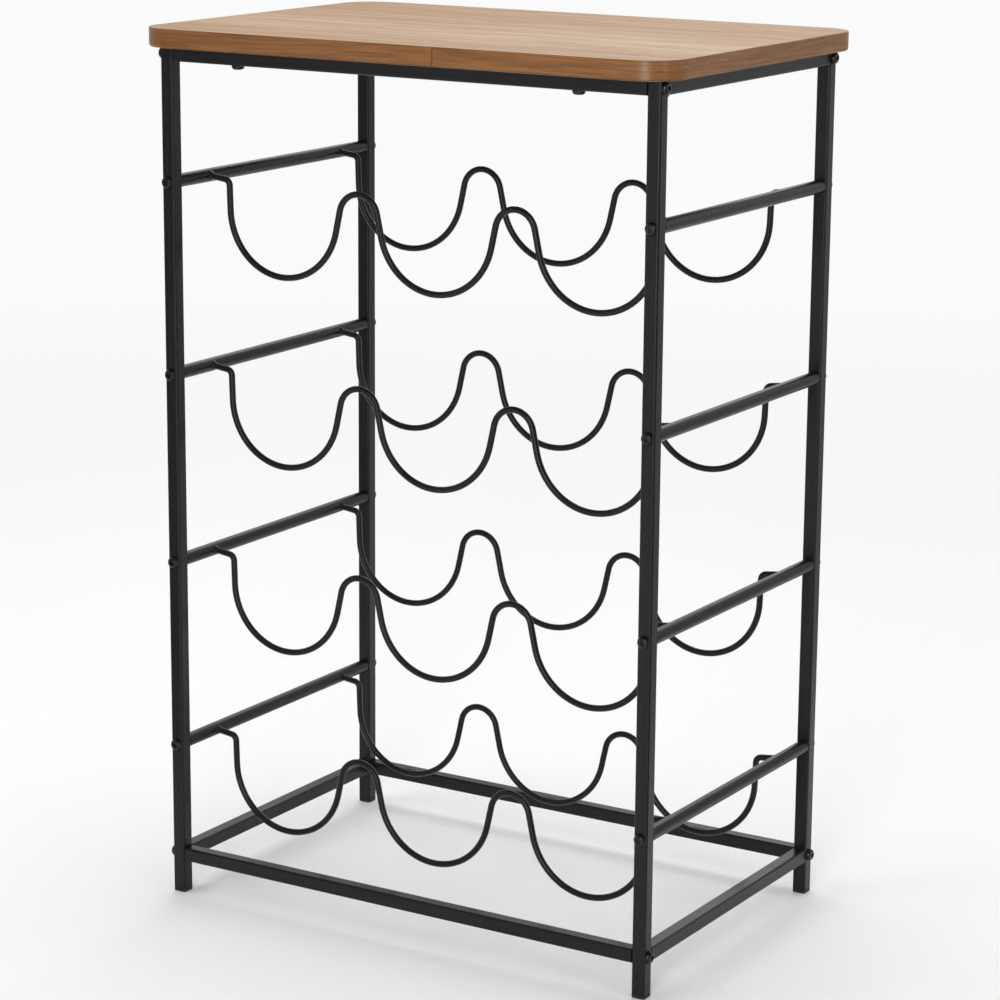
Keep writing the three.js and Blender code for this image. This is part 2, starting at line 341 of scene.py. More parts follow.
def raised(tree, height, distance, normal=None):
    """A bump of a height that runs from 0 to 1, so many metres tall, on top of another bump if given."""
    made = add_node(tree, "ShaderNodeBump", height=height, distance=distance, strength=1)
    if normal is not None:
        tree.links.new(normal, made.inputs["Normal"])
    return made.outputs[0]


def object_place(tree):
    return add_node(tree, "ShaderNodeTexCoord").outputs["Object"]


# ---- Metal and plastic ----

COAT_DARK = (0.0022, 0.0023, 0.0034, 1)
COAT_LIGHT = (0.0085, 0.0087, 0.0112, 1)
COAT_SPECK = (0.02, 0.02, 0.022, 1)
COAT_DRIFT_SHARE = 0.5  # how far the drift, the lines and the specks lighten the coat
COAT_LINE_SHARE = 0.6
COAT_SPECK_SHARE = 0.5
COAT_LINE_SPREAD = (0.4, 0.65)  # the noise at which lines start to show, and where they are full
COAT_SPECK_SPREAD = (0.68, 0.76)
COAT_ROUGHNESS = (0.25, 0.33)
COAT_GRAIN_ROUGHNESS = (-0.03, 0.05)
COAT_PEEL_HEIGHT = 0.03 * MM
COAT_GRAIN_HEIGHT = 0.008 * MM
COAT_LINE_HEIGHT = 0.02 * MM
COAT_IOR = 1.345

WEAR_SPREAD = (0.45, 0.75)  # the noise at which worn patches start, and where they are full

STEEL_DARK = (0.002, 0.002, 0.0024, 1)
STEEL_WORN = (0.009, 0.009, 0.01, 1)
STEEL_ROUGHNESS = (0.14, 0.24)
STEEL_GRAIN_HEIGHT = 0.01 * MM
STEEL_IOR = 1.42

PLASTIC_DARK = (0.006, 0.006, 0.006, 1)
PLASTIC_SCUFFED = (0.016, 0.016, 0.016, 1)
PLASTIC_ROUGHNESS = (0.5, 0.66)
PLASTIC_TEXTURE_HEIGHT = 0.03 * MM


def make_powder_coat(direction):
    """Black satin powder coat over tube drawn along an axis: faint lines along the tube, an orange peel
    and a fine grain."""
    material, tree, surface = new_material(f"black powder coat along {direction}")
    place = object_place(tree)
    peel = noise(tree, place, waves=420, roughness=0.45)
    grain = noise(tree, place, waves=2200, roughness=0.6)
    drift = noise(tree, place, waves=22, detail=3, roughness=0.55)
    specks = noise(tree, place, waves=1100, detail=1, roughness=0.4)
    lines = streaky_noise(tree, place, direction, along=6, across=850, roughness=0.6)

    drift_wear = maths(tree, "MULTIPLY", drift, COAT_DRIFT_SHARE)
    line_wear = ranged(tree, lines, COAT_LINE_SPREAD, (0, COAT_LINE_SHARE))
    tone = blended(tree, maths(tree, "ADD", drift_wear, line_wear), COAT_DARK, COAT_LIGHT)
    speck = ranged(tree, specks, COAT_SPECK_SPREAD, (0, COAT_SPECK_SHARE))
    tone = blended(tree, speck, tone, COAT_SPECK)
    tree.links.new(tone, surface.inputs["Base Color"])

    drift_roughness = ranged(tree, drift, NOISE_SPREAD, COAT_ROUGHNESS)
    grain_roughness = ranged(tree, grain, NOISE_SPREAD, COAT_GRAIN_ROUGHNESS)
    roughness = maths(tree, "ADD", drift_roughness, grain_roughness)
    tree.links.new(roughness, surface.inputs["Roughness"])
    bumps = raised(tree, peel, COAT_PEEL_HEIGHT)
    bumps = raised(tree, grain, COAT_GRAIN_HEIGHT, bumps)
    bumps = raised(tree, lines, COAT_LINE_HEIGHT, bumps)
    tree.links.new(bumps, surface.inputs["Normal"])
    surface.inputs["IOR"].default_value = COAT_IOR
    return material


def make_bolt_steel():
    """Blackened steel, a little glossier than the paint, with a fine grain and worn patches."""
    material, tree, surface = new_material("blackened steel")
    place = object_place(tree)
    patches = noise(tree, place, waves=600, detail=3, roughness=0.6)
    grain = noise(tree, place, waves=3000, roughness=0.6)
    tone = blended(tree, ranged(tree, patches, WEAR_SPREAD, (0, 1)), STEEL_DARK, STEEL_WORN)
    tree.links.new(tone, surface.inputs["Base Color"])
    tree.links.new(ranged(tree, patches, NOISE_SPREAD, STEEL_ROUGHNESS), surface.inputs["Roughness"])
    tree.links.new(raised(tree, grain, STEEL_GRAIN_HEIGHT), surface.inputs["Normal"])
    surface.inputs["IOR"].default_value = STEEL_IOR
    return material


def make_cap_plastic():
    """Moulded black plastic with a fine spark texture."""
    material, tree, surface = new_material("moulded black plastic")
    place = object_place(tree)
    texture = noise(tree, place, waves=1500, roughness=0.6)
    scuffs = noise(tree, place, waves=160, detail=3, roughness=0.6)
    tone = blended(tree, ranged(tree, scuffs, WEAR_SPREAD, (0, 1)), PLASTIC_DARK, PLASTIC_SCUFFED)
    tree.links.new(tone, surface.inputs["Base Color"])
    tree.links.new(ranged(tree, scuffs, NOISE_SPREAD, PLASTIC_ROUGHNESS), surface.inputs["Roughness"])
    tree.links.new(raised(tree, texture, PLASTIC_TEXTURE_HEIGHT), surface.inputs["Normal"])
    return material


powder_coats = {direction: make_powder_coat(direction) for direction in "XYZ"}
bolt_steel = make_bolt_steel()
cap_plastic = make_cap_plastic()


# ---- Wood ----

OAK_IOR = 1.4
OAK_RELIEF = 0.02 * MM
LINE_SPREAD = (0.35, 0.7)  # the noise at which growth lines start to turn brown, and where they are full
LINE_BROWN = (-0.2, 0.4)
STREAK_SPREAD = (0.42, 0.7)
PORE_SPREAD = (0.58, 0.72)
PORE_DARKNESS = 0.45
PORE_ROUGHNESS = 0.15
PORE_DEPTH = 0.6  # against the streaks' height

BOARD_TONES = [(0.52, 0.345, 0.2, 1), (0.37, 0.188, 0.058, 1), (0.22, 0.09, 0.02, 1)]  # pale to dark
BOARD_STREAK_DARKNESS = 0.9
BOARD_ROUGHNESS = (0.38, 0.48)
BOARD_SWAY = 60 * MM
BOARD_DEPTH_RANGE = (-140 * MM, 140 * MM)  # from the front edge to the back edge
BOARD_BANDS = [  # place from front to back, and how brown
    (0.02, 0.6), (0.2, 0.45), (0.3, 0.05), (0.42, 0), (0.47, 0.4), (0.52, 0.25), (0.6, 0.65), (0.66, 0.5),
    (0.74, 1), (0.86, 0.75), (0.97, 0.8),
]
# Painted shade: the board's left is made browner, standing for the dimmer surroundings that its top reflects
# there.
BOARD_LEFT_SHADE_RANGE = (-200 * MM, 60 * MM)  # from the left end to where the board stops being browner
BOARD_LEFT_PAINTED_SHADE = 0.22
# The core's own brown, darkened nearly to black as painted shade for the seam's groove and the strip of core
# below the band.
CORE_BROWN_AND_SHADE = (0.045, 0.02, 0.008, 1)
CORE_FACING = (0.2, 0.5)  # how far up or down a face looks where it is all core, and all laminate

EDGE_TONES = [(0.26, 0.112, 0.033, 1), (0.18, 0.07, 0.018, 1), (0.08, 0.026, 0.005, 1)]
EDGE_STREAK_DARKNESS = 0.8
EDGE_ROUGHNESS = (0.24, 0.34)
EDGE_SWAY = 12 * MM
EDGE_FINENESS = 2.2  # how much finer its grain is than the board's
EDGE_BAND_SPREAD = (0.35, 0.65)
EDGE_BAND_BROWN = 0.7


def wood_figure(tree, place, sway_width):
    """Patterns of oak whose grain runs along X, each about 0 to 1: growth lines, streaks and pores.
    The place comes back as well, swayed from side to side as the grain sways."""
    sway = streaky_noise(tree, place, "X", along=2.2, across=9)
    sway = maths(tree, "MULTIPLY", maths(tree, "SUBTRACT", sway, 0.5), sway_width)
    shift = add_node(tree, "ShaderNodeCombineXYZ", y=sway).outputs[0]
    shifted = add_node(tree, "ShaderNodeVectorMath", {"operation": "ADD"})
    tree.links.new(place, shifted.inputs[0])
    tree.links.new(shift, shifted.inputs[1])
    swayed = shifted.outputs[0]

    lines = streaky_noise(tree, swayed, "X", along=2.5, across=75, detail=3, roughness=0.6)
    streaks = streaky_noise(tree, swayed, "X", along=9, across=380, detail=4, roughness=0.62)
    pores = streaky_noise(tree, swayed, "X", along=55, across=1900)
    return lines, streaks, pores, swayed


def board_bands_and_shade(tree, swayed):
    """How brown the board is from its front edge to its back edge, and a little browner to the left as
    painted shade for the dimmer reflection there.
    """
    split = add_node(tree, "ShaderNodeSeparateXYZ", vector=swayed)
    bands = ramp(tree, ranged(tree, split.outputs["Y"], BOARD_DEPTH_RANGE, (0, 1)), BOARD_BANDS)
    # painted shade: browner to the left, where the top reflects dimmer surroundings
    left_painted_shade = ranged(tree, split.outputs["X"], BOARD_LEFT_SHADE_RANGE, (BOARD_LEFT_PAINTED_SHADE, 0))
    return maths(tree, "ADD", bands, left_painted_shade)


def edge_bands(tree, swayed):
    """Slow changes of tone along the edge band."""
    slow = streaky_noise(tree, swayed, "X", along=5, across=60)
    return ranged(tree, slow, EDGE_BAND_SPREAD, (0, EDGE_BAND_BROWN))


def edge_place(tree):
    """A place along the edge band, in units that make its grain finer than the board's."""
    along = add_node(tree, "ShaderNodeUVMap").outputs[0]
    return stretched(tree, along, [EDGE_FINENESS] * 3)


def make_oak(name, place_of, sway_width, bands_and_shade_of, tones, streak_darkness, roughness_range):
    """Oak-grain laminate: a pale, a middle and a dark tone in bands and streaks, with fine open pores."""
    material, tree, surface = new_material(name)
    lines, streaks, pores, swayed = wood_figure(tree, place_of(tree), sway_width)
    pale, middle, dark = tones
    line_brown = ranged(tree, lines, LINE_SPREAD, LINE_BROWN)
    tone = blended(tree, maths(tree, "ADD", bands_and_shade_of(tree, swayed), line_brown), pale, middle)
    tone = blended(tree, ranged(tree, streaks, STREAK_SPREAD, (0, streak_darkness)), tone, dark)
    pits = ranged(tree, pores, PORE_SPREAD, (0, 1))
    tone = blended(tree, maths(tree, "MULTIPLY", pits, PORE_DARKNESS), tone, dark)
    tree.links.new(tone, surface.inputs["Base Color"])

    streak_roughness = ranged(tree, streaks, NOISE_SPREAD, roughness_range)
    pit_roughness = maths(tree, "MULTIPLY", pits, PORE_ROUGHNESS)
    roughness = maths(tree, "ADD", streak_roughness, pit_roughness)
    tree.links.new(roughness, surface.inputs["Roughness"])
    fibres = maths(tree, "SUBTRACT", streaks, maths(tree, "MULTIPLY", pits, PORE_DEPTH))
    tree.links.new(raised(tree, fibres, OAK_RELIEF), surface.inputs["Normal"])
    surface.inputs["IOR"].default_value = OAK_IOR
    return material


def bare_sides_with_shade(material, core):
    """Paints the faces that look sideways in the core's brown, darkened to a painted shade for the seam's
    groove and the strip below the band.
    """
    tree = material.node_tree
    colour = tree.nodes["Principled BSDF"].inputs["Base Color"]
    laminate = colour.links[0].from_socket
    normal = add_node(tree, "ShaderNodeNewGeometry").outputs["Normal"]
    upward = add_node(tree, "ShaderNodeSeparateXYZ", vector=normal).outputs["Z"]
    flatness = ranged(tree, maths(tree, "ABSOLUTE", upward), CORE_FACING, (0, 1))
    tree.links.new(blended(tree, flatness, core, laminate), colour)


oak_board = make_oak(
    "oak board", object_place, BOARD_SWAY, board_bands_and_shade, BOARD_TONES, BOARD_STREAK_DARKNESS, BOARD_ROUGHNESS)
# painted shade: the core's sideways faces are made nearly black
bare_sides_with_shade(oak_board, CORE_BROWN_AND_SHADE)
oak_edge = make_oak(
    "oak edge", edge_place, EDGE_SWAY, edge_bands, EDGE_TONES, EDGE_STREAK_DARKNESS, EDGE_ROUGHNESS)


# ---- Wooden top ----

def make_board():
    """The core, with an eased edge that leaves a fine groove beside the band."""
    low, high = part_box("tabletop_board")
    middle = box_centre("tabletop_edge_band")
    band_low, band_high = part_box("tabletop_edge_band")
    size = band_high - band_low
    profile = [
        (BOARD_EASE, low.z), (0, low.z + BOARD_EASE), (0, high.z - BOARD_EASE), (BOARD_EASE, high.z),
    ]
    rings = []
    for inset, z in profile:
        edge = BAND_THICKNESS + inset
        outline = rounded_rectangle(
            size.x - 2 * edge, size.y - 2 * edge, BOARD_CORNER - edge, BOARD_CORNER_FACETS)
        rings.append([Vector((middle.x, middle.y, 0)) + point for point in lifted(outline, z)])
    new_piece("tabletop_core", skin(rings), oak_board, ["tabletop_board"], flat_angle=30)


def band_section(height):
    """The band's section as inset and rise. Its outer edges are round, and it ends above the underside."""
    rounding = []
    for i in range(BAND_ROUNDING_FACETS + 1):
        angle = math.pi / 2 * i / BAND_ROUNDING_FACETS
        rounding.append((BAND_ROUNDING * (1 - math.sin(angle)), BAND_ROUNDING * (1 - math.cos(angle))))
    section = [(BAND_THICKNESS, BAND_SHORTFALL)]
    section += [(inset, BAND_SHORTFALL + rise) for inset, rise in rounding]
    section += [(inset, height - drop) for inset, drop in reversed(rounding)]
    section += [(BAND_THICKNESS, height)]
    return section


def make_edge_band():
    """A strip bent round the core from one side of its seam to the other, mapped along its length."""
    low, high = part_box("tabletop_edge_band")
    size = high - low
    front_right = 3 * (BOARD_CORNER_FACETS + 1)  # where the outline's last corner starts
    seam_left = BAND_SEAM_X - BAND_SEAM_WIDTH / 2
    seam_right = BAND_SEAM_X + BAND_SEAM_WIDTH / 2
    courses = []
    for inset, rise in band_section(size.z):
        outline = rounded_rectangle(
            size.x - 2 * inset, size.y - 2 * inset, BOARD_CORNER - inset, BOARD_CORNER_FACETS)
        outline = outline[front_right:] + outline[:front_right]
        front_y = -size.y / 2 + inset
        eased_y = -size.y / 2 + min(inset + BAND_END_EASE, BAND_THICKNESS)
        right_end = [Vector((seam_right, eased_y, 0)), Vector((seam_right + BAND_END_EASE, front_y, 0))]
        left_end = [Vector((seam_left - BAND_END_EASE, front_y, 0)), Vector((seam_left, eased_y, 0))]
        courses.append(lifted(right_end + outline + left_end, low.z + rise))
    rings = [list(ring) for ring in zip(*courses)]
    band = new_piece(
        "tabletop_band", skin(rings), oak_edge, ["tabletop_edge_band"], flat_angle=30)
    map_along(band.data, rings)


def map_along(mesh, rings):
    """UV in metres: U is the distance along the rings' first points, V the distance round the first ring."""
    travelled = [0]
    for before, after in zip(rings, rings[1:]):
        travelled.append(travelled[-1] + (after[0] - before[0]).length)
    around = [0]
    for before, after in zip(rings[0], rings[0][1:]):
        around.append(around[-1] + (after - before).length)
    layer = mesh.uv_layers.new(name="along the band")
    for loop in mesh.loops:
        ring, spot = divmod(loop.vertex_index, len(around))
        layer.data[loop.index].uv = (travelled[ring], around[spot])


make_board()
make_edge_band()


# ---- Frame ----

def make_square_tube(node):
    """A hollow square tube with rounded corners and eased ends."""
    length, along, direction = long_axis(node)
    half = length / 2
    ease = TUBE_END_EASE
    bore = TUBE - 2 * TUBE_WALL
    outer = rounded_rectangle(TUBE, TUBE, TUBE_CORNER)
    eased = rounded_rectangle(TUBE - 2 * ease, TUBE - 2 * ease, TUBE_CORNER - ease)
    inner = rounded_rectangle(bore, bore, TUBE_CORNER - TUBE_WALL)
    rings = [
        lifted(inner, -half), lifted(eased, -half), lifted(outer, ease - half),
        lifted(outer, half - ease), lifted(eased, half), lifted(inner, half),
    ]
    tube = placed(skin(rings, closed=True), box_centre(node), along)
    new_piece(f"{node}_tube", tube, powder_coats[direction], [node])


def make_foot_cap(node):
    """A push-in cap: a flange with eased edges under the tube and a shank inside it."""
    low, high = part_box(node)
    foot = Vector(((low.x + high.x) / 2, (low.y + high.y) / 2, low.z))
    height = high.z - low.z
    profile = [  # width and height
        (TUBE - 2 * CAP_EASE, 0), (TUBE - CAP_EASE / 2, CAP_EASE / 3), (TUBE, CAP_EASE),
        (TUBE, CAP_FLANGE - CAP_EASE / 2), (TUBE - CAP_EASE / 2, CAP_FLANGE), (CAP_SHANK, CAP_FLANGE),
        (CAP_SHANK, height - CAP_EASE), (CAP_SHANK - 2 * CAP_EASE, height),
    ]
    rings = [lifted(rounded_rectangle(size, size, TUBE_CORNER * size / TUBE), z) for size, z in profile]
    new_piece(f"{node}_plug", placed(skin(rings), foot), cap_plastic, [node])


def make_side_rail(node):
    """A round tube along Y with eased ends and a bore for the bolt."""
    low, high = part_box(node)
    half = (high.y - low.y) / 2
    outer = (high.z - low.z) / 2
    profile = [  # radius, and place along the rail
        (RAIL_BORE / 2, -half), (outer - RAIL_END_EASE, -half), (outer, RAIL_END_EASE - half),
        (outer, half - RAIL_END_EASE), (outer - RAIL_END_EASE, half), (RAIL_BORE / 2, half),
    ]
    rings = [lifted(circle(radius, RAIL_FACETS), along) for radius, along in profile]
    rail = placed(skin(rings, closed=True), box_centre(node), Y_AXIS)
    new_piece(f"{node}_tube", rail, powder_coats["Y"], [node])


sides = {"left": -1, "right": 1}
ends = {"front": -1, "back": 1}
levels = ["bottom", "top"]
tiers = sorted({"_".join(name.split("_")[:2]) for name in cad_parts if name.startswith("tier_")})

for side in sides:
    for end in ends:
        make_square_tube(f"{end}_{side}_leg")
        make_foot_cap(f"{end}_{side}_foot_cap")
    for level in levels:
        make_square_tube(f"{side}_{level}_rail")
    for tier in tiers:
        make_side_rail(f"{tier}_{side}_rail")
for end in ends:
    for level in levels:
        make_square_tube(f"{end}_{level}_rail")


# ---- Wires ----

def arc(centre, radius, start, end):
    """Points of an arc in X and Z, both ends included."""
    steps = max(2, round(abs(end - start) / ARC_STEP))
    angles = [start + (end - start) * i / steps for i in range(steps + 1)]
    return [centre + radius * Vector((math.cos(angle), 0, math.sin(angle))) for angle in angles]


def angle_of(direction):
    return math.atan2(direction.z, direction.x)


def angle_to_bend(trough, bend, bend_radius):
    """The direction, from a trough's centre, of the point where its circle runs straight into a bend
    that curves the other way. The same direction reversed leaves the bend's centre."""
    between = bend - trough
    return angle_of(between) - math.acos((TROUGH_RADIUS + bend_radius) / between.length)


rail_low, rail_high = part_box("tier_1_right_rail")
rail_x = (rail_low.x + rail_high.x) / 2
rail_radius = (rail_high.x - rail_low.x) / 2
stub_start = Vector((END_BEND_X, 0, END_BEND_TOP))
stub_end = Vector((rail_x, 0, STUB_END_Z))
stub_direction = (stub_end - stub_start).normalized()


def half_wire():
    """Centre line of the right half of a wire, from the middle trough's bottom into the side rail."""
    trough = Vector((0, 0, TROUGH_BOTTOM + TROUGH_RADIUS))
    outer_trough = trough + BOTTLE_PITCH * X_AXIS
    crest = Vector((BOTTLE_PITCH / 2, 0, CREST_TOP - CREST_RADIUS))
    end_bend = Vector((END_BEND_X, 0, END_BEND_TOP - END_BEND_RADIUS))
    to_crest = angle_to_bend(trough, crest, CREST_RADIUS)
    to_end = angle_to_bend(outer_trough, end_bend, END_BEND_RADIUS)
    bitten = stub_end - (rail_radius - STUB_BITE) * stub_direction
    return (
        arc(trough, TROUGH_RADIUS, -math.pi / 2, to_crest)
        + arc(crest, CREST_RADIUS, to_crest + math.pi, -to_crest)
        + arc(outer_trough, TROUGH_RADIUS, -math.pi - to_crest, to_end)
        + arc(end_bend, END_BEND_RADIUS, to_end + math.pi, math.pi / 2 + angle_of(stub_direction))
        + [bitten]
    )


def mirrored(points):
    return [Vector((-point.x, point.y, point.z)) for point in reversed(points)]


def swept_wire(path):
    """Round sections square to a path that lies in X and Z."""
    rings = []
    for i, point in enumerate(path):
        before, after = path[max(i - 1, 0)], path[min(i + 1, len(path) - 1)]
        ahead = (after - before).normalized()
        across = Vector((-ahead.z, 0, ahead.x))
        ring = []
        for spot in circle(WIRE_DIAMETER / 2, WIRE_FACETS):
            ring.append(point + spot.x * across + spot.y * Y_AXIS)
        rings.append(ring)
    return skin(rings)


def stub_weld(side):
    """The bead where a stub meets the side rail, about the rail's axis: a collar that spreads on to the
    rail's round face, with a ripple of its own."""
    ahead = Vector((side * stub_direction.x, 0, stub_direction.z))
    across = Vector((-ahead.z, 0, ahead.x))
    offset = Vector((0, 0, STUB_END_Z))
    phase = chance.uniform(0, 2 * math.pi)
    waves = chance.choice(STUB_WELD_WAVES)

    def at(radius, back, angle, sunk):
        """A point so far from the stub's axis and so far back from the rail's surface."""
        level = offset + radius * math.cos(angle) * across
        reach = level.dot(ahead)
        meet = -reach - math.sqrt(reach * reach - level.length_squared + (rail_radius - sunk) ** 2)
        return level + (meet - back) * ahead + radius * math.sin(angle) * Y_AXIS

    rings = []
    for spread, back, sunk in STUB_WELD_PROFILE:
        ring = []
        for i in range(WELD_FACETS):
            angle = 2 * math.pi * i / WELD_FACETS
            leg = STUB_WELD_LEG * (1 + STUB_WELD_RIPPLE * math.sin(waves * angle + phase))
            ring.append(at(WIRE_DIAMETER / 2 + spread * leg, back * leg, angle, sunk * leg))
        rings.append(ring)
    return skin(rings, closed=True)


def make_wire(tier, end):
    """One wire with its three troughs, and the weld at each of its stubs."""
    node = f"{tier}_{end}_wire"
    origin = Vector((0, box_centre(node).y, box_centre(f"{tier}_right_rail").z))
    half = half_wire()
    path = mirrored(half[1:]) + half
    wire = placed(swept_wire(path), origin)
    new_piece(f"{node}_rod", wire, powder_coats["X"], [node])
    for name, side in sides.items():
        weld = placed(stub_weld(side), origin + side * rail_x * X_AXIS)
        new_piece(f"{node}_{name}_weld", weld, powder_coats["X"], flat_angle=60)


for tier in tiers:
    for end in ends:
        make_wire(tier, end)


# ---- Welds of the short rails ----

def rail_weld(above, below):
    """A bead round the end of a square tube that points along Z, whose top is on the Y side."""
    phase = chance.uniform(0, 2 * math.pi)
    waves = chance.choice(RAIL_WELD_WAVES)
    rings = []
    for spread, back in RAIL_WELD_PROFILE:
        flush = RAIL_WELD_FLUSH * spread
        top, bottom = above * spread, below * spread
        outline = rounded_rectangle(TUBE + 2 * flush, TUBE + top + bottom, TUBE_CORNER)
        ring = []
        for i, point in enumerate(evenly_spaced(outline, WELD_FACETS)):
            ripple = 1 + RAIL_WELD_RIPPLE * math.sin(waves * 2 * math.pi * i / WELD_FACETS + phase)
            ring.append(point + (top - bottom) / 2 * Y_AXIS + back * RAIL_WELD_LEG * ripple * Z_AXIS)
        rings.append(ring)
    return skin(rings, closed=True)


def make_rail_welds(node, above, below):
    """The bead at each end of a short rail. Its Z runs back along the rail, and its Y stays up."""
    low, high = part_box(node)
    for name, end in ends.items():
        mouth = box_centre(node) + end * ((high.y - low.y) / 2 + CAD_GAP) * Y_AXIS
        vertices, faces = rail_weld(above, below)
        turned = [mouth + Vector((point.x, -end * point.z, point.y)) for point in vertices]
        new_piece(f"{node}_{name}_weld", (turned, faces), powder_coats["X"], flat_angle=60)


for side in sides:
    make_rail_welds(f"{side}_bottom_rail", above=RAIL_WELD_LEG, below=RAIL_WELD_LEG)
    make_rail_welds(f"{side}_top_rail", above=RAIL_WELD_FLUSH, below=RAIL_WELD_LEG)


# ---- Fasteners ----

def domed_head(rim, flat, height, skirt):
    """Profile as radius and height: a short skirt at the rim's radius, then a quarter of an ellipse in to
    the flat top's."""
    profile = [(rim, 0), (rim, skirt)]
    for i in range(1, HEAD_STEPS + 1):
        angle = math.pi / 2 * i / HEAD_STEPS
        radius = flat + (rim - flat) * math.cos(angle)
        profile.append((radius, skirt + (height - skirt) * math.sin(angle)))
    return profile


def fastener(head, height, shank, length, recess, recess_depth):
    """A domed head on z = 0 that points up, with a recess in it and a shank below. The head and the shank
    are given by their diameters, and the recess by its outline."""
    flat = HEAD_FLAT_SHARE * head + HEAD_FLAT_RIM
    rings = [lifted(circle(shank / 2, BOLT_FACETS), -length), lifted(circle(shank / 2, BOLT_FACETS), 0)]
    for radius, z in domed_head(head / 2, flat, height, HEAD_SKIRT_SHARE * height):
        rings.append(lifted(circle(radius, BOLT_FACETS), z))
    lip = [point * RECESS_LIP for point in recess]
    tip = [point * RECESS_TIP for point in recess]
    rings += [
        lifted(lip, height), lifted(recess, height - RECESS_LIP_DEPTH),
        lifted(recess, height - recess_depth), lifted(tip, height - recess_depth - RECESS_TIP_DEPTH),
    ]
    return skin(rings)


def make_bolt(node):
    """A button-head bolt with a hex socket. Its head is on the side of the rack that it stands on."""
    low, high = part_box(node)
    length, axis, _ = long_axis(node)
    centre = box_centre(node)
    outward = axis if centre.dot(axis) > 0 else -axis
    seat = centre + (length / 2 - BOLT_HEAD_HEIGHT - CAD_GAP) * outward
    bolt = fastener(
        min(high - low), BOLT_HEAD_HEIGHT + CAD_GAP, BOLT_SHANK, length - BOLT_HEAD_HEIGHT - CAD_GAP,
        hexagon(BOLT_SOCKET, BOLT_FACETS), BOLT_SOCKET_DEPTH)
    new_piece(
        f"{node}_button", placed(bolt, seat, outward), bolt_steel, [node], flat_angle=35)


def make_board_screws():
    """Pan-head screws that hold the board, up through the long top rails."""
    for end in ends:
        low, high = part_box(f"{end}_top_rail")
        for name, side in sides.items():
            seat = Vector((side * BOARD_SCREW_X, (low.y + high.y) / 2, low.z))
            screw = fastener(
                BOARD_SCREW_HEAD, BOARD_SCREW_HEAD_HEIGHT, BOARD_SCREW_SHANK, BOARD_SCREW_LENGTH,
                cross(BOARD_SCREW_CROSS, BOARD_SCREW_CROSS_ARM, BOLT_FACETS), BOARD_SCREW_CROSS_DEPTH)
            screw = placed(screw, seat, -Z_AXIS)
            new_piece(f"board_screw_{end}_{name}", screw, bolt_steel, flat_angle=35)


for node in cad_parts:
    if node.endswith("_bolt"):
        make_bolt(node)
make_board_screws()


# ---- Studio ----

STUDIO_FACETS = 96
FLOOR_RADIUS = 14
FLOOR_COLOUR = (0.9, 0.9, 0.9, 1)
FLOOR_ROUGHNESS = 0.7
FLOOR_SPECULAR = 0.1

BACKDROP_START = 0.6  # how far from the rack the backdrop starts to cover the floor
BACKDROP_FULL = 2.6
BACKDROP_WHITE = 0.96
BACKDROP_LIFT = 0.01  # how far it stands off the floor
BACKDROP_RADIUS = 0.9 * FLOOR_RADIUS
BACKDROP_HEIGHT = FLOOR_RADIUS

SURROUNDINGS_GREYS = (0.3, 0.85)  # in front of the rack and behind it
SURROUNDINGS_FADE = (-0.9, 0.3)  # the Y of the directions between which it brightens
OVERHEAD_SHARE = 0.5  # how much of the brightness is left overhead
OVERHEAD_FADE = (0.4, 0.75)  # the Z of the directions between which it dims

CARD_X = 0.33  # of the two cards to the right of the rack
RIGHT_CARD_HEIGHT = 0.56
RIGHT_CARD_GREYS = [  # place from bottom to top, and brightness
    (0, 1.6), (0.06, 1), (0.14, 0.7), (0.3, 0.6), (0.5, 0.58), (0.8, 0.64), (1, 0.76),
]

LAMP_AIM = (0, 0, 0.35)
STRIP_DISTANCE = 2.6
STRIP_LENGTH = 1.9
STRIP_CENTRE = 1  # its height above the floor


def staged_mesh(name, skinned, material):
    """Part of the studio, which isn't part of the rack."""
    vertices, faces = skinned
    mesh = bpy.data.meshes.new(name)
    mesh.from_pydata(vertices, [], faces)
    mesh.materials.append(material)
    made = bpy.data.objects.new(name, mesh)
    bpy.context.scene.collection.objects.link(made)
    return made


def seen_only_by(thing, camera=False, reflections=False):
    """Leaves a studio object visible to the camera or in reflections, and out of all other light."""
    thing.visible_camera = camera
    thing.visible_glossy = reflections
    thing.visible_diffuse = False
    thing.visible_transmission = False
    thing.visible_volume_scatter = False
    thing.visible_shadow = False


def make_floor():
    """A wide pale disc."""
    material, _, surface = new_material("studio floor")
    surface.inputs["Base Color"].default_value = FLOOR_COLOUR
    surface.inputs["Roughness"].default_value = FLOOR_ROUGHNESS
    surface.inputs["Specular IOR Level"].default_value = FLOOR_SPECULAR
    rim = circle(FLOOR_RADIUS, STUDIO_FACETS)
    staged_mesh("floor", (rim, [tuple(range(len(rim)))]), material)


def make_glow(name, strength_of, cover_of=None):
    """A material that only glows, see-through where its cover is below 1."""
    material = bpy.data.materials.new(name)
    material.use_nodes = True
    tree = material.node_tree
    tree.nodes.clear()
    place = object_place(tree)
    glow = add_node(tree, "ShaderNodeEmission", strength=strength_of(tree, place)).outputs[0]
    output = add_node(tree, "ShaderNodeOutputMaterial")
    if cover_of is not None:
        clear = add_node(tree, "ShaderNodeBsdfTransparent").outputs[0]
        mixed = tree.nodes.new("ShaderNodeMixShader")
        tree.links.new(cover_of(tree, place), mixed.inputs[0])
        tree.links.new(clear, mixed.inputs[1])
        tree.links.new(glow, mixed.inputs[2])
        glow = mixed.outputs[0]
    tree.links.new(glow, output.inputs["Surface"])
    return material


def even(strength):
    """The same strength all over, for make_glow."""
    return lambda tree, place: strength


